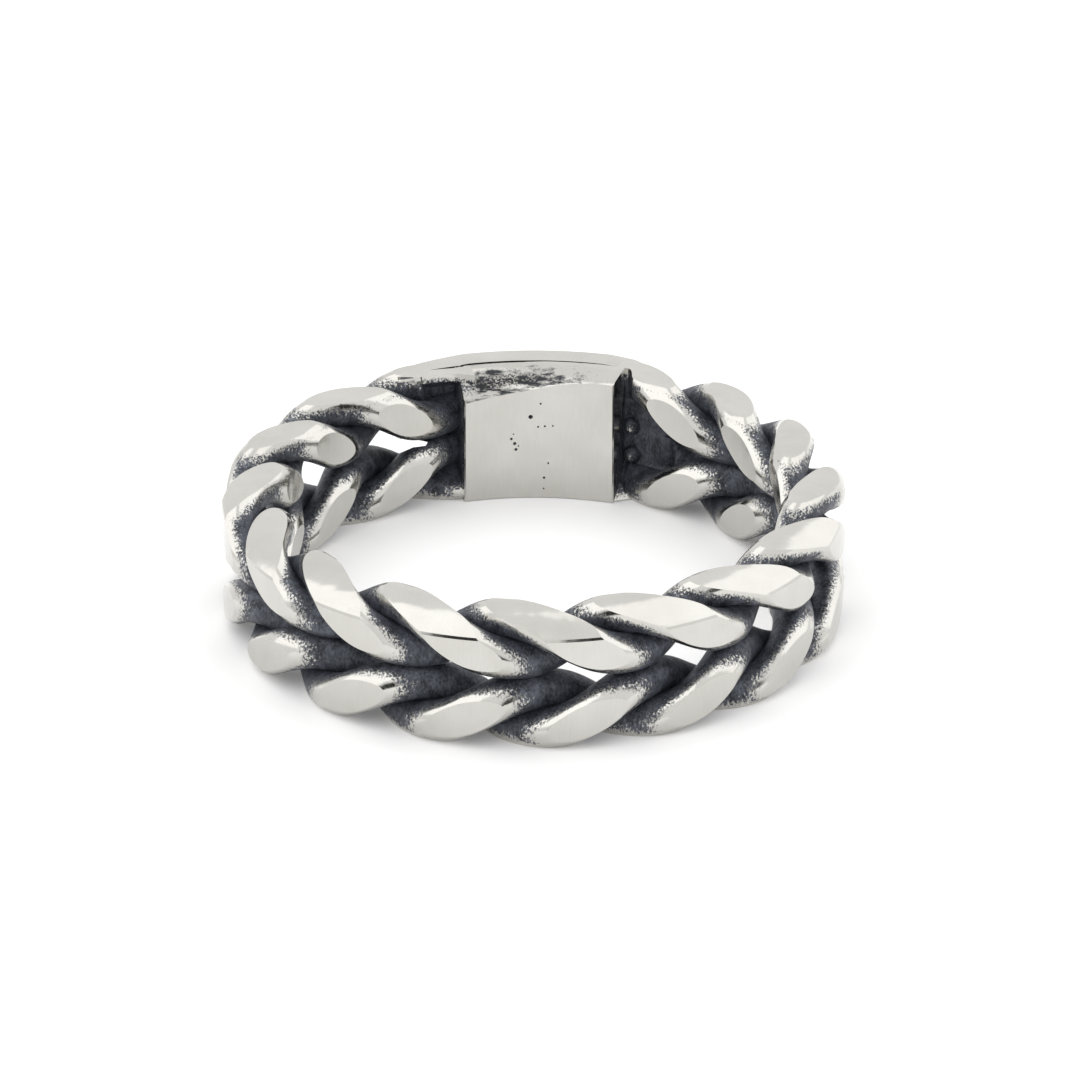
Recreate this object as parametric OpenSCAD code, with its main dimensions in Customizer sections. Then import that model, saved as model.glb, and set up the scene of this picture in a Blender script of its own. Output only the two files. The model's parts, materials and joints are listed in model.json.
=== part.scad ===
// Braided knot ring, cast in one piece of silver and lying on its side.
// Two twisted ropes run round the finger side by side, each of two strands, and the lower one
// is the mirror image of the upper. They are cast together with a plain plate at the back.
// +Z is the finger's axis, the plate lies towards +Y, and the ring rests on z = 0.

/* [Band] */
// Inside diameter of the finger hole
finger_d = 17.5; // [15:0.1:22]
// Thickness of the band, from the finger hole to the outside
band_t = 2.25; // [2:0.05:2.4]
// Width of the band along the finger
band_w = 4.9; // [4.6:0.05:5.2]

/* [Braid] */
// Lobes that one rope would show round the whole ring
lobes = 16; // [14:2:20]
// Angle that the braid is turned by, clockwise from above
braid_turn = 1; // [-6:0.5:6]
// Height of each rope's middle above or below the middle of the band
rope_offset = 1.34; // [1.3:0.01:1.4]
// Distance of a strand's middle from the rope's middle
swing = 0.69; // [0.65:0.01:0.71]
// Half of a strand's thickness
strand_t = 0.72; // [0.69:0.01:0.77]
// Half of a strand's width
strand_w = 0.88; // [0.82:0.01:0.95]
// Share of its thickness that a rope keeps when it is rolled flat
rolled = 0.88; // [0.84:0.01:0.94]

/* [Back] */
// Angle from the middle of the back to the left end of the inner plate
plate_left = 15.7; // [10:0.1:20]
// Angle from the middle of the back to the right end of the inner plate
plate_right = 18.7; // [10:0.1:22]
// Width of the worn upper edge of the inner plate, towards the outside
edge_across = 1.4; // [0.6:0.05:1.5]
// Depth of that worn edge, down the finger hole
edge_down = 0.45; // [0.1:0.05:0.9]
// Angle from the middle of the back to the left end of the outer skin
skin_left = 28; // [20:0.5:34]
// Angle from the middle of the back to the right end of the outer skin
skin_right = 30; // [20:0.5:34]
// Thickness of the outer skin
skin_t = 0.6; // [0.4:0.05:0.9]

/* [Hidden] */

finger_r = finger_d / 2;
outer_r = finger_r + band_t;
middle_r = finger_r + band_t / 2;
// Twist of a rope for each degree round the ring: it shows two lobes in a turn
twist_rate = lobes / 2;
// Corners of a strand's section, and sections along the first strand
sides = 10;
sections = 74;
// Angle by which the first strand runs on inside the inner plate
root = 1;
// Metal that the casting carries beyond its finished faces
stock = 0.3;
// Length of a tool that cuts right through
through = 4 * band_w;
round_fn = 120;

// Point at the radius r and the height z, at the angle a clockwise from the back
function place(r, a, z) = [r * sin(a), r * cos(a), z];

// Twist of a rope at the angle a: at 0, 360 and so on its first strand stands furthest out,
// which a space between two lobes at the front of an unturned braid keeps clear of
function twist_at(a) = twist_rate * (a - 180 - braid_turn) - 90;

// One section of a strand whose middle is at the twist t. Its thickness points away from the
// rope's middle, and its corners stay at fixed directions, so they run straight along the rope.
function strand_section(a, t) = [
    for (i = [0:sides - 1])
        let (
            u = 360 * i / sides - t,
            deep = swing + strand_t * cos(u),
            wide = strand_w * sin(u)
        )
        place(
            middle_r + rolled * (deep * cos(t) - wide * sin(t)),
            a,
            rope_offset + deep * sin(t) + wide * cos(t)
        )
];

// Solid through a row of cross-sections that have the same number of corners
module loft(rows) {
    n = len(rows[0]);
    last = len(rows) - 1;
    walls = [
        for (k = [0:last - 1], i = [0:n - 1])
            let (j = (i + 1) % n, near = k * n, far = (k + 1) * n)
            each [[near + i, far + i, far + j], [near + i, far + j, near + j]]
    ];
    near_end = [for (i = [0:n - 1]) i];
    far_end = [for (i = [n - 1:-1:0]) last * n + i];
    polyhedron(
        points = [for (row = rows) each row],
        faces = concat([near_end], walls, [far_end])
    );
}

// One strand of a rope, from plate end to plate end round the front. The strands number from 0
// to 3, and each has a section less than the one before and runs on a little further inside the
// plate, so that no two have sections in one plane.
module strand(ply, number) {
    inside = root * (1 + number / 4);
    start = plate_right - inside;
    run = 360 - plate_left - plate_right + 2 * inside;
    last = sections - 1 - number;
    loft([
        for (k = [0:last])
            let (a = start + run * k / last)
            strand_section(a, twist_at(a) + 180 * ply)
    ]);
}

// Two strands twisted about each other and rolled flat
module rope(first) {
    for (ply = [0, 1]) strand(ply, first + ply);
}

// The two ropes, mirror images that touch where their lobes meet
module braid() {
    rope(0);
    mirror([0, 0, 1]) rope(2);
}

// Stretch of the band between two angles either side of the back and two radii
module back_piece(left, right, r_in, r_out) {
    rotate([0, 0, 90 - right])
        rotate_extrude(angle = left + right, $fn = round_fn)
            translate([r_in, -band_w / 2 - stock])
                square([r_out - r_in, band_w + 2 * stock]);
}

// Thick plain plate that the finger feels at the back
module inner_plate() {
    back_piece(plate_left, plate_right, finger_r - stock, outer_r + stock);
}

// Thin plain skin that covers the outside of the back and the strands' ends
module outer_skin() {
    back_piece(skin_left, skin_right, outer_r - skin_t, outer_r + stock);
}

// The rough casting: resize makes one lump of metal of its pieces
module casting() {
    resize([0, 0, 0]) {
        braid();
        inner_plate();
        outer_skin();
    }
}

// Metal that is reamed out of the finger hole
module finger_hole() {
    translate([0, 0, -through / 2]) cylinder(r = finger_r, h = through, $fn = round_fn);
}

// Metal that is filed off the outside
module outside() {
    rotate_extrude($fn = round_fn)
        translate([outer_r, -through / 2]) square([2 * band_t, through]);
}

// Metal that is filed off the upper rim, or off the lower one where side is 1
module rim(side) {
    mirror([0, 0, side])
        translate([-2 * outer_r, -2 * outer_r, band_w / 2])
            cube([4 * outer_r, 4 * outer_r, band_w]);
}

// Metal that wear has taken off the inner plate's upper edge
module worn_edge() {
    slope = edge_down / edge_across;
    beyond = 1;
    past_ends = 0.4;
    rotate([0, 0, 90 - plate_right - past_ends])
        rotate_extrude(angle = plate_left + plate_right + 2 * past_ends, $fn = round_fn)
            polygon([
                [finger_r - beyond, band_w / 2 - edge_down - beyond * slope],
                [finger_r + edge_across + beyond, band_w / 2 + beyond * slope],
                [finger_r - beyond, band_w / 2 + beyond * slope]
            ]);
}

// The whole ring: the casting with its faces finished one after another
module ring() {
    color([0.8, 0.79, 0.77])
        translate([0, 0, band_w / 2])
            difference() {
                difference() {
                    difference() {
                        difference() {
                            difference() {
                                casting();
                                finger_hole();
                            }
                            outside();
                        }
                        rim(0);
                    }
                    rim(1);
                }
                worn_edge();
            }
}

ring();
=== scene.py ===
import json
import math

import bmesh
import bpy
import numpy as np
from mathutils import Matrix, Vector


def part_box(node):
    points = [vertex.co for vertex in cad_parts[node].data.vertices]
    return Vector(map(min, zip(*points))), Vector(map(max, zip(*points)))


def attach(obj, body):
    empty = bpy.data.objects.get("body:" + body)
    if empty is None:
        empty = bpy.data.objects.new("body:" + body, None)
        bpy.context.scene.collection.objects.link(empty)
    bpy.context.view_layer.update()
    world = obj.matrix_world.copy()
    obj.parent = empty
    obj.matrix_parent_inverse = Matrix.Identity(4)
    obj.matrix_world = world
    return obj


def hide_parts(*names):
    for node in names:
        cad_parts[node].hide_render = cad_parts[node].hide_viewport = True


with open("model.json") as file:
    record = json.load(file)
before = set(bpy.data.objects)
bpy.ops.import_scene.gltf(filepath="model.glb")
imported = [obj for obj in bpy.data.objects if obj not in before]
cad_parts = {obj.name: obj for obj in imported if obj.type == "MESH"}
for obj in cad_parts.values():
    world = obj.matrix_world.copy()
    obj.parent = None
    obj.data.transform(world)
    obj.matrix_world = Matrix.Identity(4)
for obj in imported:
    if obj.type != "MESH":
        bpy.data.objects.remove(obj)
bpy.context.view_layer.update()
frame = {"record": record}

bpy.ops.object.select_all(action="DESELECT")


# Camera: a long lens at the height of the photo, about 26 degrees above the floor and square to
# the front of the ring, whose plain plate lies at the far side. Sizes in this script are in
# millimetres, which MM turns to metres.
MM = 0.001
VIEW_HEIGHT = math.radians(26.45)
VIEW_TURN = math.radians(0.5)
VIEW_DISTANCE = 275.0
SENSOR = 36.0
NEAREST_SEEN = 10.0
PHOTO_SIDE = 1080
RING_WIDTH_PX = 622.5
RING_CENTRE_PX = (533.8, 544.8)

ring_low, ring_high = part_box("ring")
BAND_W = (ring_high[2] - ring_low[2]) / MM
OUTER_R = ring_high[1] / MM

toward_camera = Vector((
    math.sin(VIEW_TURN) * math.cos(VIEW_HEIGHT),
    -math.cos(VIEW_TURN) * math.cos(VIEW_HEIGHT),
    math.sin(VIEW_HEIGHT),
))
view_right = Vector((math.cos(VIEW_TURN), math.sin(VIEW_TURN), 0))
view_up = toward_camera.cross(view_right)
px_per_mm = RING_WIDTH_PX / (2 * OUTER_R)
aim = (
    Vector((0, 0, BAND_W / 2))
    + view_right * (PHOTO_SIDE / 2 - RING_CENTRE_PX[0]) / px_per_mm
    + view_up * (RING_CENTRE_PX[1] - PHOTO_SIDE / 2) / px_per_mm
)
bpy.ops.object.camera_add(location=(aim + toward_camera * VIEW_DISTANCE) * MM)
camera = bpy.context.object
camera.name = "camera"
camera.rotation_euler = toward_camera.to_track_quat("Z", "Y").to_euler()
camera.data.sensor_width = SENSOR
# The ring's sides are seen where the lines of sight graze it
camera.data.lens = px_per_mm * math.sqrt(VIEW_DISTANCE ** 2 - OUTER_R ** 2) / PHOTO_SIDE * SENSOR
camera.data.clip_start = NEAREST_SEEN * MM
bpy.context.scene.camera = camera


# Strands: four silver wires, two to a rope. The upper rope twists one way and the lower rope, its
# mirror image, the other. Each is a wax wire wound with its fellow, rolled flat and bent round a
# mandrel, before the whole ring is cast.
FINGER_R = frame["record"]["mounts"][0]["dims"]["r_mm"]
MIDDLE_R = (OUTER_R + FINGER_R) / 2
LOBES = 16
BRAID_TURN = 1.0
ROPE_OFFSET = 1.34
SWING = 0.69
# Half of a wire's thickness and half of its width
STRAND_T, STRAND_W = 0.72, 0.88
ROLLED = 0.95
# Degrees from the middle of the back to the plate's ends, and how far a wire runs on inside it
PLATE_LEFT, PLATE_RIGHT = 17.2, 18.7
ROOT = 1.5
WIRE_SIDES = 44
WIRE_SECTIONS = 450
# Beside the plate the strands' inner sides are cast away, down to a floor. Each row has, for one
# strand of a rope, angles clockwise from the middle of the back and the share that is gone there.
CAST_AWAY = (
    ((0, 19.5, 24.5, 328, 338, 360), (1, 1, 0, 0, 1, 1)),
    ((0, 29, 37, 332, 344, 360), (1, 1, 0, 0, 0.5, 0.5)),
)
FLOOR_DEPTH = 1.3
FLOOR_SOFT = 0.06
# Where nothing is cast away, the floor lies this far inside the finger hole
UNCUT = 0.3
# Below this height the lower rope keeps a lip
LIP = 1.3


def select_only(piece):
    bpy.ops.object.select_all(action="DESELECT")
    piece.select_set(True)
    bpy.context.view_layer.objects.active = piece


def edit_all(piece):
    """Enters edit mode on one piece, with all of it selected."""
    select_only(piece)
    bpy.ops.object.mode_set(mode="EDIT")
    bpy.ops.mesh.select_all(action="SELECT")


def places(piece):
    flat = np.empty(len(piece.data.vertices) * 3)
    piece.data.vertices.foreach_get("co", flat)
    return flat.reshape(-1, 3) / MM


def set_places(piece, points):
    piece.data.vertices.foreach_set("co", (points * MM).ravel())
    piece.data.update()


def draw_out(piece, start, run, steps, turn=0.0):
    """Draws a flat outline out into a closed bar from start on, which turns on the way."""
    screw = piece.modifiers.new("draw_out", "SCREW")
    screw.axis = "Z"
    screw.angle = math.radians(turn)
    screw.screw_offset = run * MM
    screw.steps = screw.render_steps = steps
    select_only(piece)
    bpy.ops.object.modifier_apply(modifier=screw.name)
    edit_all(piece)
    bpy.ops.mesh.remove_doubles(threshold=1e-7)
    bpy.ops.mesh.fill_holes(sides=0)
    bpy.ops.object.mode_set(mode="OBJECT")
    set_places(piece, places(piece) + (0, 0, start))


def face_outwards(piece):
    edit_all(piece)
    bpy.ops.mesh.normals_make_consistent(inside=False)
    if bmesh.from_edit_mesh(piece.data).calc_volume(signed=True) < 0:
        bpy.ops.mesh.flip_normals()
    bpy.ops.object.mode_set(mode="OBJECT")


def bend_round(piece):
    """Bends a bar round the finger. Its points are (radius, height, degrees from the back)."""
    radius, height, angle = places(piece).T
    turn = np.radians(angle)
    set_places(piece, np.stack([radius * np.sin(turn), radius * np.cos(turn), height], 1))
    face_outwards(piece)


def strand(ply, side):
    """One wire: ply 0 or 1 of a rope, which is the upper one at side 1 and the lower one at -1."""
    start = PLATE_RIGHT - ROOT
    run = 360 - PLATE_LEFT - PLATE_RIGHT + 2 * ROOT
    twist_rate = LOBES / 2
    bpy.ops.mesh.primitive_circle_add(vertices=WIRE_SIDES, radius=MM)
    piece = bpy.context.object
    bpy.ops.transform.resize(value=(STRAND_T, STRAND_W, 1))
    bpy.ops.transform.translate(value=(SWING * MM, 0, 0))
    bpy.ops.object.transform_apply(location=True, rotation=False, scale=True)
    piece.rotation_euler.z = math.radians(twist_rate * (start - 180 - BRAID_TURN) - 90 + 180 * ply)
    bpy.ops.object.transform_apply(location=False, rotation=True, scale=False)
    draw_out(piece, start, run, WIRE_SECTIONS, turn=twist_rate * run)

    across, up, angle = places(piece).T
    radius = MIDDLE_R + ROLLED * across
    height = BAND_W / 2 + side * (ROPE_OFFSET + up)
    gone = np.interp(angle, *CAST_AWAY[ply])
    if side < 0:
        gone *= np.clip(height / LIP, 0, 1)
    gone = gone * gone * (3 - 2 * gone)
    floor = FINGER_R - UNCUT + gone * (UNCUT + FLOOR_DEPTH)
    radius = floor + FLOOR_SOFT * np.logaddexp(0, (radius - floor) / FLOOR_SOFT)
    set_places(piece, np.stack([radius, height, angle], 1))
    bend_round(piece)
    return piece


strands = [strand(ply, side) for side in (1, -1) for ply in (0, 1)]


# Inner plate: the thick plain plate that the finger feels at the back, cast with the strands. Its
# upper edge is worn round, most at its left end, and on the rim a fine seam shows between it and
# the skin, which gapes at the left. Angles are degrees from the middle of the back.
STOCK = 0.3
SKIN_T = 0.9
SEAM = 0.08
SEAM_DEPTH = 0.3
SEAM_CLEAR = 0.1
GAPE_AT = (-22, -18, -12, -3, 2)
GAPE = (0.03, 0.14, 0.1, 0.07, 0)
EDGE_ACROSS = 1.4
EDGE_AT = (-17, -12, -7.4, -4, -1, 2, 5.4, 9, 13, 19)
EDGE_DOWN = (0.96, 0.84, 0.72, 0.64, 0.55, 0.44, 0.33, 0.24, 0.17, 0.12)
# The worn edge ends at this turn from level, in a crease with the wall. It starts a little above
# the rim, and all that stands above the rim is filed off later.
EDGE_CREASE = math.radians(25)
EDGE_PROUD = 0.01
LOWER_EDGE = 0.1
LOWER_PROUD = 0.1
END_EDGE = 0.06
PLATE_SECTIONS = 140

# Heights of the rims before they are filed, and radii of the seam's two sides
low = -STOCK
high = BAND_W + STOCK
seam_in = OUTER_R - SKIN_T - SEAM / 2
seam_out = OUTER_R - SKIN_T + SEAM / 2
seam_floor = BAND_W - SEAM_DEPTH


def outline(name, corners):
    """A flat closed outline through (radius, height) corners."""
    mesh = bpy.data.meshes.new(name)
    mesh.from_pydata(
        [(radius * MM, height * MM, 0) for radius, height in corners],
        [(i, (i + 1) % len(corners)) for i in range(len(corners))],
        [],
    )
    piece = bpy.data.objects.new(name, mesh)
    bpy.context.collection.objects.link(piece)
    return piece


def gape_open(radius, angle):
    at_seam = abs(radius - seam_in) < 1e-4
    return np.where(at_seam, radius - np.interp(angle, GAPE_AT, GAPE), radius)


def lower_corner(turn):
    reach = LOWER_EDGE + LOWER_PROUD
    return FINGER_R + LOWER_EDGE - reach * math.cos(turn), LOWER_EDGE - reach * math.sin(turn)


def worn_corner(turn):
    """A point of the worn edge, which goes 1 mm down the wall until it gets its real depth."""
    reach = (EDGE_ACROSS + EDGE_PROUD) / math.cos(EDGE_CREASE)
    down = (1 - math.sin(turn)) / (1 - math.sin(EDGE_CREASE))
    return FINGER_R + EDGE_ACROSS - reach * math.cos(turn), BAND_W + EDGE_PROUD - down


plate = outline("inner_plate", [
    (FINGER_R - STOCK, LOWER_EDGE),
    *[lower_corner(turn) for turn in np.linspace(0, math.pi / 2, 9)],
    (FINGER_R + LOWER_EDGE, low),
    (seam_out + SEAM_CLEAR, low),
    (seam_out + SEAM_CLEAR, seam_floor),
    (seam_in, seam_floor),
    (seam_in, high),
    (FINGER_R + EDGE_ACROSS, high),
    *[worn_corner(turn) for turn in np.linspace(math.pi / 2, EDGE_CREASE, 13)],
    (FINGER_R - STOCK, BAND_W - 1),
])
draw_out(plate, -PLATE_LEFT, PLATE_LEFT + PLATE_RIGHT, PLATE_SECTIONS)
radius, height, angle = places(plate).T
# The corners at the plate's ends are eased to a small round
to_end = np.minimum(angle + PLATE_LEFT, PLATE_RIGHT - angle) * math.radians(FINGER_R)
past_round = np.clip(END_EDGE - to_end, 0, END_EDGE)
eased = END_EDGE - np.sqrt(END_EDGE ** 2 - past_round ** 2)
radius = np.where(eased > 0, np.maximum(radius, FINGER_R + eased), radius)
worn = (radius < FINGER_R + EDGE_ACROSS - 1e-4) & (height > BAND_W / 2)
height = np.where(worn, BAND_W + (height - BAND_W) * np.interp(angle, EDGE_AT, EDGE_DOWN), height)
set_places(plate, np.stack([gape_open(radius, angle), height, angle], 1))
bend_round(plate)


# Webs: thin metal that the casting left along both rims beside the plate, out to where it dies
# away in the strands. The lower one is one piece, and the upper one lies at the left only.
WEB_SECTIONS = 60
WEB_CLEAR = 0.15
web_out = seam_out + WEB_CLEAR
# The section of each web, and a row of angles with the radius of its inner side at each
WEBS = (
    ([(FINGER_R, low), (web_out, low), (web_out, 1.2), (FINGER_R, 0.06)],
     (-29, -25.9, -20.8, -15, 18, 23, 27), (10.2, 10.05, 9.37, 8.82, 8.82, 9.4, 9.9)),
    ([(FINGER_R, high), (seam_in, high), (seam_in, seam_floor), (web_out, seam_floor),
      (web_out, BAND_W - 0.9), (FINGER_R, BAND_W - 0.3)],
     (-30, -27, -24, -18.3, -14), (10.02, 9.7, 9.6, 9.45, 9.1)),
)
webs = []
for corners, angles, inner_radii in WEBS:
    web = outline("web", corners)
    draw_out(web, angles[0], angles[-1] - angles[0], WEB_SECTIONS)
    radius, height, angle = places(web).T
    radius = np.where(radius < FINGER_R + 0.1, np.interp(angle, angles, inner_radii), radius)
    set_places(web, np.stack([gape_open(radius, angle), height, angle], 1))
    bend_round(web)
    webs.append(web)


# Outer skin: the thin plain outside of the back, cast over the strands' ends. Its ends are cut
# back above and below, and its left end has a V notch, where the opening comes out.
SKIN_AT = (-31, -29.5, -27, -22, -14, 14, 19, 22.5, 25.5, 29, 33, 35)
SKIN_CUT_ABOVE = (1.5, 0.6, 0.22, 0.12, 0, 0, 0.08, 0.28, 0.6, 1.0, 1.7, 2.2)
SKIN_CUT_BELOW = (0.9, 0.4, 0.1, 0, 0, 0, 0, 0, 0, 0.05, 0.5, 1.2)
SKIN_ROWS = 29
SKIN_SECTIONS = 132
# Angle and height of the notch's tip, and half of its height at its tip and at its mouth
NOTCH_FROM = -21
NOTCH_AT = 1.6
NOTCH_HALF = (0.12, 1.5)

rows = np.linspace(low, high, SKIN_ROWS)
skin = outline("outer_skin", [
    *[(OUTER_R + STOCK, height) for height in rows],
    *[(seam_out, height) for height in rows[::-1]],
])
draw_out(skin, SKIN_AT[0], SKIN_AT[-1] - SKIN_AT[0], SKIN_SECTIONS)
radius, height, angle = places(skin).T
cut_above = np.interp(angle, SKIN_AT, SKIN_CUT_ABOVE)
cut_below = np.interp(angle, SKIN_AT, SKIN_CUT_BELOW)
top = np.where(cut_above > 0, BAND_W - cut_above, high)
bottom = np.where(cut_below > 0, cut_below, low)
upper = height > BAND_W / 2
height = np.where(upper, np.minimum(height, top), np.maximum(height, bottom))
kept = np.interp(abs(height - NOTCH_AT), NOTCH_HALF, (0.02, 1))
angle = np.where(angle < NOTCH_FROM, NOTCH_FROM + (angle - NOTCH_FROM) * kept, angle)
set_places(skin, np.stack([radius, height, angle], 1))
bend_round(skin)


# Casting: strands, plate, webs and skin are one lump of silver, cast with two stray beads of metal
# beside the plate. Its inside, outside and rims are filed true, which gives the lobes flat faces
# with crisp edges, and the inner corners of the rims are eased for the finger.
BEADS = ((20.2, 2.6), (20.3, 1.47))
BEAD_R = 0.36
BEADS_AT = 10.12
# Eased inner corners of the rims, across and down
UPPER_EASE = (0.36, 0.15)
LOWER_EASE = (0.08, 0.04)
# The upper rim is worn down towards the outside, from the sides of the ring round its front. The
# worn corner is a flattened round, whose power is 2 where it is a true one.
WORN_ACROSS, WORN_DOWN = 1.7, 0.72
WORN_FROM, WORN_TO = 70, 115
WORN_POWER = 1.6
FILED_STEPS = 720


def join_by(piece, other, operation):
    joint = piece.modifiers.new(operation.lower(), "BOOLEAN")
    joint.operation = operation
    joint.solver = "MANIFOLD"
    joint.object = other
    select_only(piece)
    bpy.ops.object.modifier_apply(modifier=joint.name)
    bpy.data.objects.remove(other)


def at(angle, radius, height):
    turn = math.radians(angle)
    return Vector((radius * math.sin(turn), radius * math.cos(turn), height)) * MM


casting = strands[0]
for other in [*strands[1:], plate, skin, *webs]:
    join_by(casting, other, "UNION")

for angle, height in BEADS:
    bpy.ops.mesh.primitive_uv_sphere_add(
        segments=24, ring_count=16, radius=BEAD_R * MM, location=at(angle, BEADS_AT, height)
    )
    bead = bpy.context.object
    bpy.ops.object.transform_apply(location=True, rotation=False, scale=False)
    join_by(casting, bead, "UNION")


def worn_rim(turn):
    across = 1 - math.cos(turn) ** (2 / WORN_POWER)
    down = 1 - math.sin(turn) ** (2 / WORN_POWER)
    return OUTER_R - WORN_ACROSS * across, BAND_W - WORN_DOWN * down


# What the files leave: a ring that is turned from its section. Its points are (across, up, away).
filed = outline("filed", [
    (FINGER_R, LOWER_EASE[1]),
    (FINGER_R + LOWER_EASE[0], 0),
    (OUTER_R, 0),
    *[worn_rim(turn) for turn in np.linspace(0, math.pi / 2, 9)],
    (FINGER_R + UPPER_EASE[0], BAND_W),
    (FINGER_R, BAND_W - UPPER_EASE[1]),
])
edit_all(filed)
bpy.ops.mesh.subdivide(number_cuts=1)
bpy.ops.object.mode_set(mode="OBJECT")
screw = filed.modifiers.new("turn", "SCREW")
screw.axis = "Y"
screw.steps = screw.render_steps = FILED_STEPS
bpy.ops.object.modifier_apply(modifier=screw.name)
across, height, away = places(filed).T
radius = np.hypot(across, away)
angle = np.degrees(np.arctan2(across, away))
corner = (height > BAND_W - WORN_DOWN - 1e-4) & (radius > OUTER_R - WORN_ACROSS - 1e-4)
unworn = corner * np.interp(abs(angle), (WORN_FROM, WORN_TO), (1, 0))
grown = (radius + (OUTER_R - radius) * unworn) / radius
height += (BAND_W - height) * unworn
set_places(filed, np.stack([across * grown, away * grown, height], 1))
edit_all(filed)
bpy.ops.mesh.remove_doubles(threshold=1e-7)
bpy.ops.object.mode_set(mode="OBJECT")
face_outwards(filed)
join_by(casting, filed, "INTERSECT")


# Opening: left of the plate the casting has a hole right through the wall, between the two ropes,
# which falls on its way out. Each corner is given twice, on the finger's side and on the outside,
# in degrees from the middle of the back and in height.
OPENING_IN, OPENING_OUT = 9.1, 11.2
OPENING = (
    ((-34.57, 3.06), (-27.85, 1.90)), ((-32.69, 2.90), (-26.40, 1.76)),
    ((-30.06, 2.76), (-24.36, 1.64)), ((-27.49, 2.64), (-22.34, 1.54)),
    ((-25.60, 2.51), (-20.85, 1.42)), ((-26.11, 2.38), (-21.25, 1.28)),
    ((-29.30, 2.43), (-23.76, 1.31)), ((-31.66, 2.36), (-25.60, 1.23)),
    ((-32.99, 2.33), (-26.64, 1.18)), ((-34.60, 2.50), (-27.88, 1.33)),
)

count = len(OPENING)
mesh = bpy.data.meshes.new("opening")
mesh.from_pydata(
    [at(angle, OPENING_IN, height) for (angle, height), _ in OPENING]
    + [at(angle, OPENING_OUT, height) for _, (angle, height) in OPENING],
    [],
    [range(count), range(2 * count - 1, count - 1, -1)]
    + [((i + 1) % count, i, count + i, count + (i + 1) % count) for i in range(count)],
)
opening = bpy.data.objects.new("opening", mesh)
bpy.context.collection.objects.link(opening)
face_outwards(opening)
join_by(casting, opening, "DIFFERENCE")


# Pores: small pits that gas left in the plate's inner face when the silver was cast. Each has its
# angle from the middle of the back, its height and its radius.
PORES = (
    (-1.3, 3.28, 0.085), (-5.9, 2.41, 0.05), (-5.1, 2.22, 0.065), (-4.8, 1.98, 0.06),
    (0.5, 2.88, 0.04), (2.1, 2.91, 0.04), (4.0, 2.93, 0.035), (1.1, 3.81, 0.04),
    (2.9, 1.42, 0.04), (1.9, 0.83, 0.05), (1.8, 0.39, 0.035), (-5.4, 2.6, 0.03), (-4.2, 2.12, 0.03),
)
pores = []
for angle, height, size in PORES:
    bpy.ops.mesh.primitive_ico_sphere_add(
        subdivisions=2, radius=size * MM, location=at(angle, FINGER_R, height)
    )
    pores.append(bpy.context.object)
for pore in pores:
    pore.select_set(True)
bpy.ops.object.join()
all_pores = bpy.context.object
bpy.ops.object.transform_apply(location=True, rotation=False, scale=False)
join_by(casting, all_pores, "DIFFERENCE")

# Crumbs that the cuts leave are thrown away
edit_all(casting)
bpy.ops.mesh.separate(type="LOOSE")
bpy.ops.object.mode_set(mode="OBJECT")
lumps = sorted(bpy.context.selected_objects, key=lambda lump: len(lump.data.vertices))
casting = lumps.pop()
for crumb in lumps:
    bpy.data.objects.remove(crumb)
casting.name = casting.data.name = "ring_body"
select_only(casting)
bpy.ops.object.shade_smooth_by_angle(angle=math.radians(18))


# Patina's places: the whole ring is dipped until it is black and then polished, which leaves the
# black where the polish can't reach. Each point keeps its depth below the filed faces, the worn
# edge of the plate keeps streaks, and the pores stay black. They are kept as mesh attributes.
STREAKS_UP_AT, STREAKS_UP = (-0.1, 0.1, 0.55, 0.9, 1.0), (0, 0.75, 1, 0.7, 0.1)
STREAKS_ALONG_AT, STREAKS_ALONG = (-15.5, -13, 4, 10, 18), (0.3, 1, 0.9, 0.6, 0.35)
# A face whose normal points up less than this is a wall, which has no streaks
WALL_TILT = 0.03
# Depth that counts at the tip of a bead and below its cap, so that only its tip is polished
BEAD_DEPTHS = (0.18, 0.5)
BEAD_CAP = 0.15

mesh = casting.data
points = places(casting)
radius = np.hypot(points[:, 0], points[:, 1])
angle = np.degrees(np.arctan2(points[:, 0], points[:, 1]))
height = points[:, 2]
depth = np.minimum.reduce([OUTER_R - radius, radius - FINGER_R, height, BAND_W - height])

# On the worn rim, depth is the way up to its flattened round: what the point falls short of it by,
# over the steepness there
worn_across = WORN_ACROSS * np.interp(abs(angle), (WORN_FROM, WORN_TO), (1e-3, 1))
worn_down = worn_across * WORN_DOWN / WORN_ACROSS
out = np.clip((radius - OUTER_R) / worn_across + 1, 1e-6, None)
up = np.clip((height - BAND_W) / worn_down + 1, 1e-6, None)
steepness = WORN_POWER * np.hypot(out ** (WORN_POWER - 1) / worn_across, up ** (WORN_POWER - 1) / worn_down)
below_wear = (1 - out ** WORN_POWER - up ** WORN_POWER) / steepness
at_wear = (out > 1e-5) & (up > 1e-5)
depth = np.where(at_wear, np.minimum(depth, below_wear), depth)

cap = (BEADS_AT - BEAD_R, BEADS_AT - BEAD_R + BEAD_CAP * BEAD_R)
for bead_angle, bead_height in BEADS:
    away = np.linalg.norm(points - np.array(at(bead_angle, BEADS_AT, bead_height)) / MM, axis=1)
    on_bead = away < BEAD_R * 1.01
    depth = np.where(on_bead, np.minimum(depth, np.interp(radius, cap, BEAD_DEPTHS)), depth)
mesh.attributes.new("depth", "FLOAT", "POINT").data.foreach_set("value", depth)

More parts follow.
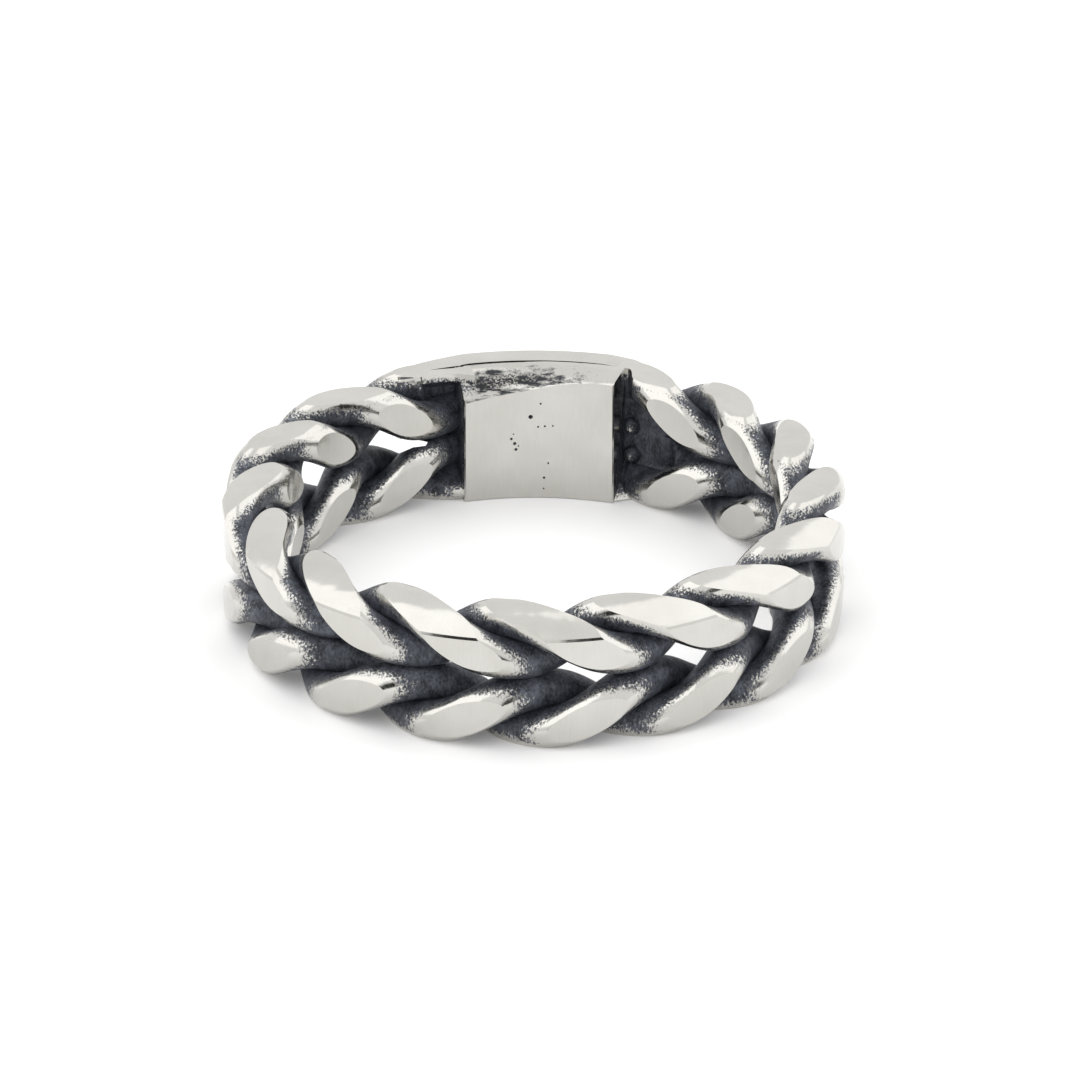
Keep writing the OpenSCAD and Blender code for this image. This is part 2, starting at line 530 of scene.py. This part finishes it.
# 0 at the foot of the plate's worn edge and 1 at the rim
up_edge = (height - BAND_W) / np.interp(angle, EDGE_AT, EDGE_DOWN) + 1
on_plate = (angle > STREAKS_ALONG_AT[0]) & (angle < STREAKS_ALONG_AT[-1] + 0.5)
on_edge = on_plate & (radius < FINGER_R + EDGE_ACROSS + 0.1) & (up_edge > STREAKS_UP_AT[0])
streaks = on_edge * np.interp(up_edge, STREAKS_UP_AT, STREAKS_UP)
streaks *= np.interp(angle, STREAKS_ALONG_AT, STREAKS_ALONG)
corner_points = np.empty(len(mesh.loops), int)
mesh.loops.foreach_get("vertex_index", corner_points)
face_corners = np.empty(len(mesh.polygons), int)
mesh.polygons.foreach_get("loop_total", face_corners)
normals = np.empty(len(mesh.polygons) * 3)
mesh.polygons.foreach_get("normal", normals)
is_wall = normals.reshape(-1, 3)[:, 2] < WALL_TILT
streaks = streaks[corner_points] * ~np.repeat(is_wall, face_corners)
mesh.attributes.new("streaks", "FLOAT", "CORNER").data.foreach_set("value", streaks)

centres = np.empty(len(mesh.polygons) * 3)
mesh.polygons.foreach_get("center", centres)
centres = centres.reshape(-1, 3) / MM
inside_wall = np.hypot(centres[:, 0], centres[:, 1]) - FINGER_R
in_pore = np.zeros(len(centres))
for pore_angle, pore_height, size in PORES:
    away = np.linalg.norm(centres - np.array(at(pore_angle, FINGER_R, pore_height)) / MM, axis=1)
    in_pore[(away < size * 1.02) & (inside_wall > 0.1 * size)] = 1
mesh.attributes.new("pore", "FLOAT", "FACE").data.foreach_set("value", in_pore)


# Silver: sterling silver, polished on a soft wheel along the finger, which leaves it bright with
# faint brush marks. In the hollows it is oxidised to a blue-black, matt and slightly mottled
# patina, whose border is ragged where the polish has caught the grain.
POLISHED_ROUGHNESS = (0.10, 0.19)
PATINA_ROUGHNESS = 0.48
PATINA_METALLIC = 0.4
# Depth at which the patina starts and at which it is whole, with the noise added
PATINA_DEPTHS = (0.15, 0.31)
# Depths between which the border grows ragged, by how much, and how far it wanders
RAGGED_DEPTHS = (0.04, 0.22)
RAGGED = 1.4
WANDER = 0.3
# How much noise breaks up the streaks, what is then faint and what is black, and their least share
STREAK_NOISE = 3.6
STREAK_LEVELS = (0.65, 1.08)
STREAK_LEAST = 0.06
STREAK_BORDER = 0.25
# Shares of the finer noise in the patina's mottle and in the silver's tone, and their ranges
GRAIN_SHARE, BRUSH_SHARE = 0.8, 0.5
MOTTLE_RANGE, TONE_RANGE, SCRATCH_RANGE = (-0.2, 0.25), (-0.25, 0.25), (-0.2, 0.2)
# Relief of the polished silver and of the patina, and how strongly each shows
WOBBLE_DEPTH, RIND_DEPTH = 0.04, 0.05
WOBBLE_STRENGTH, RIND_STRENGTH = 0.5, 0.6
# Each cloud of noise has its marks to a millimetre, its stretch, its detail and its roughness. The
# finest marks are coarser than the real grain and scratches, which would not show in the render.
CLOUDS = {
    "speckle": (13.0, (1, 1, 0.65), 4, 0.7),
    "wander": (0.9, (1, 1, 1), 2, 0.6),
    "brushed": (1.5, (0.7, 0.7, 3.2), 5, 0.7),
    "mottle": (2.6, (1, 1, 0.6), 4, 0.6),
    "grain": (14.0, (1, 1, 0.5), 2, 0.6),
    "tone": (0.5, (1, 1, 1), 2, 0.6),
    "brush": (3.0, (6, 6, 0.5), 2, 0.6),
    "scratches": (2.0, (14, 14, 0.6), 2, 0.6),
    "wobble": (1.3, (1, 1, 1), 1, 0.6),
    "rind": (11.0, (1, 1, 0.5), 3, 0.6),
}


def linear(hex_colour):
    parts = [int(hex_colour[i:i + 2], 16) / 255 for i in (1, 3, 5)]
    return [c / 12.92 if c <= 0.04045 else ((c + 0.055) / 1.055) ** 2.4 for c in parts] + [1]


def node(tree, kind, inputs=(), output=0, **settings):
    """Adds a node with its settings, sets or links its inputs, and gives one of its outputs."""
    new = tree.nodes.new(kind)
    for name, value in settings.items():
        setattr(new, name, value)
    for socket, value in dict(inputs).items():
        if isinstance(value, bpy.types.NodeSocket):
            tree.links.new(value, new.inputs[socket])
        else:
            new.inputs[socket].default_value = value
    return new.outputs[output]


# Sockets of a Mix node: its factor, two values, two colours, and the mixed colour that it gives
FACTOR, VALUE_A, VALUE_B, COLOUR_A, COLOUR_B, MIXED = 0, 2, 3, 6, 7, 2

silver = bpy.data.materials.new("oxidised_sterling_silver")
silver.use_nodes = True
tree = silver.node_tree
place = node(tree, "ShaderNodeTexCoord", output="Object")
cloud = {}
for name, (marks, stretch, detail, roughness) in CLOUDS.items():
    in_mm = node(tree, "ShaderNodeMapping", {"Vector": place, "Scale": [s / MM for s in stretch]})
    noise = node(tree, "ShaderNodeTexNoise", {
        "Vector": in_mm, "Scale": marks, "Detail": detail, "Roughness": roughness
    }, "Fac")
    cloud[name] = node(tree, "ShaderNodeMath", {0: noise, 1: 0.5}, operation="SUBTRACT")
depth, streaks, pore = [
    node(tree, "ShaderNodeAttribute", output="Fac", attribute_name=name)
    for name in ("depth", "streaks", "pore")
]

# The border of the patina is ragged below the faces' edges, and wanders a little
looseness = node(tree, "ShaderNodeMapRange", {
    "Value": depth, "From Min": RAGGED_DEPTHS[0], "From Max": RAGGED_DEPTHS[1], "To Max": RAGGED
})
border = node(tree, "ShaderNodeMath", {
    0: cloud["speckle"], 1: looseness, 2: depth
}, operation="MULTIPLY_ADD")
border = node(tree, "ShaderNodeMath", {0: cloud["wander"], 1: WANDER, 2: border}, operation="MULTIPLY_ADD")
hollows = node(tree, "ShaderNodeMapRange", {
    "Value": border, "From Min": PATINA_DEPTHS[0], "From Max": PATINA_DEPTHS[1]
})

# Streaks on the plate's worn edge, drawn out along it by wear
drawn = node(tree, "ShaderNodeMath", {
    0: cloud["brushed"], 1: STREAK_NOISE, 2: streaks
}, operation="MULTIPLY_ADD")
drawn = node(tree, "ShaderNodeMapRange", {
    "Value": drawn, "From Min": STREAK_LEVELS[0], "From Max": STREAK_LEVELS[1], "To Min": STREAK_LEAST
})
near_streaks = node(tree, "ShaderNodeMapRange", {"Value": streaks, "From Max": STREAK_BORDER})
drawn = node(tree, "ShaderNodeMath", {0: drawn, 1: near_streaks}, operation="MULTIPLY")
patina = node(tree, "ShaderNodeMath", {0: hollows, 1: drawn}, operation="MAXIMUM")
patina = node(tree, "ShaderNodeMath", {0: patina, 1: pore}, operation="MAXIMUM")

# Colours: a mottled blue-black, which is plain black in the streaks, and a warm bright silver
shades = []
for fine, share, coarse, (lowest, highest), first, second in (
    ("grain", GRAIN_SHARE, "mottle", MOTTLE_RANGE, "#24272d", "#60646e"),
    ("brush", BRUSH_SHARE, "tone", TONE_RANGE, "#c2c0ba", "#cccac5"),
):
    both = node(tree, "ShaderNodeMath", {
        0: cloud[fine], 1: share, 2: cloud[coarse]
    }, operation="MULTIPLY_ADD")
    both = node(tree, "ShaderNodeMapRange", {"Value": both, "From Min": lowest, "From Max": highest})
    shades.append(node(tree, "ShaderNodeMix", {
        FACTOR: both, COLOUR_A: linear(first), COLOUR_B: linear(second)
    }, MIXED, data_type="RGBA"))
black, bright = shades
black = node(tree, "ShaderNodeMix", {
    FACTOR: streaks, COLOUR_A: black, COLOUR_B: linear("#191a1d")
}, MIXED, data_type="RGBA")
colour = node(tree, "ShaderNodeMix", {
    FACTOR: patina, COLOUR_A: bright, COLOUR_B: black
}, MIXED, data_type="RGBA")

polish = node(tree, "ShaderNodeMapRange", {
    "Value": cloud["scratches"], "From Min": SCRATCH_RANGE[0], "From Max": SCRATCH_RANGE[1],
    "To Min": POLISHED_ROUGHNESS[0], "To Max": POLISHED_ROUGHNESS[1],
})
roughness = node(tree, "ShaderNodeMix", {FACTOR: patina, VALUE_A: polish, VALUE_B: PATINA_ROUGHNESS})
metallic = node(tree, "ShaderNodeMix", {FACTOR: patina, VALUE_A: 1.0, VALUE_B: PATINA_METALLIC})

# The polish leaves the silver faintly uneven, and the patina has a fine rind
uneven = node(tree, "ShaderNodeBump", {
    "Height": cloud["wobble"], "Strength": WOBBLE_STRENGTH, "Distance": WOBBLE_DEPTH * MM
})
rind = node(tree, "ShaderNodeMath", {0: cloud["rind"], 1: patina}, operation="MULTIPLY")
relief = node(tree, "ShaderNodeBump", {
    "Height": rind, "Strength": RIND_STRENGTH, "Distance": RIND_DEPTH * MM, "Normal": uneven
})
for socket, value in (
    ("Base Color", colour), ("Roughness", roughness), ("Metallic", metallic), ("Normal", relief)
):
    tree.links.new(value, tree.nodes["Principled BSDF"].inputs[socket])
mesh.materials.clear()
mesh.materials.append(silver)

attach(casting, "root")
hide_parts("ring")


# Floor: a white lacquered table, matt enough to show no reflection, a little brightened so that
# it is as white as the photo's background
FLOOR_SIDE = 6000
bpy.ops.mesh.primitive_plane_add(size=FLOOR_SIDE * MM)
floor = bpy.context.object
floor.name = "floor"
white = bpy.data.materials.new("matt_white_lacquer")
white.use_nodes = True
paint = white.node_tree.nodes["Principled BSDF"].inputs
paint["Base Color"].default_value = linear("#f4f4f4")
paint["Roughness"].default_value = 0.9
paint["Emission Color"].default_value = linear("#ffffff")
paint["Emission Strength"].default_value = 0.09
floor.data.materials.append(white)


# Light: a bright even studio with two large soft lamps. Two black cards stand low in front, on
# either side of the camera, and give the polished silver its dark reflections.
SKY_STRENGTH = 1.1
CARD_COLOUR = (0.02, 0.02, 0.02, 1)
# Where each edge of a card starts and ends, as the part of the way out that is across, back or up
CARDS_ASIDE, CARDS_IN_FRONT, CARDS_BELOW = (0.16, 0.22), (-0.72, -0.78), (0.50, 0.44)
LAMP_SIDE = 800
LAMPS = (
    ("lamp_left", (-350, -50, 450), 1.2),
    ("lamp_right", (400, 200, 400), 1.0),
)
world = bpy.data.worlds.new("studio")
bpy.context.scene.world = world
world.use_nodes = True
tree = world.node_tree
toward = node(tree, "ShaderNodeTexCoord", output="Generated")
x, y, z = [node(tree, "ShaderNodeSeparateXYZ", {0: toward}, axis) for axis in "XYZ"]
aside = node(tree, "ShaderNodeMath", {0: x}, operation="ABSOLUTE")
card = 1.0
for direction, start, end in ((aside, *CARDS_ASIDE), (y, *CARDS_IN_FRONT), (z, *CARDS_BELOW)):
    side = node(tree, "ShaderNodeMapRange", {"Value": direction, "From Min": start, "From Max": end})
    card = node(tree, "ShaderNodeMath", {0: card, 1: side}, operation="MULTIPLY")
sky = node(tree, "ShaderNodeMix", {
    FACTOR: card, COLOUR_A: (1, 1, 1, 1), COLOUR_B: CARD_COLOUR
}, MIXED, data_type="RGBA")
tree.links.new(sky, tree.nodes["Background"].inputs["Color"])
tree.nodes["Background"].inputs["Strength"].default_value = SKY_STRENGTH

for name, spot, power in LAMPS:
    bpy.ops.object.light_add(type="AREA", location=Vector(spot) * MM)
    lamp = bpy.context.object
    lamp.name = name
    lamp.data.size = LAMP_SIDE * MM
    lamp.data.energy = power
    lamp.rotation_euler = (-Vector(spot)).to_track_quat("-Z", "Y").to_euler()

bpy.context.scene.view_settings.view_transform = "Standard"
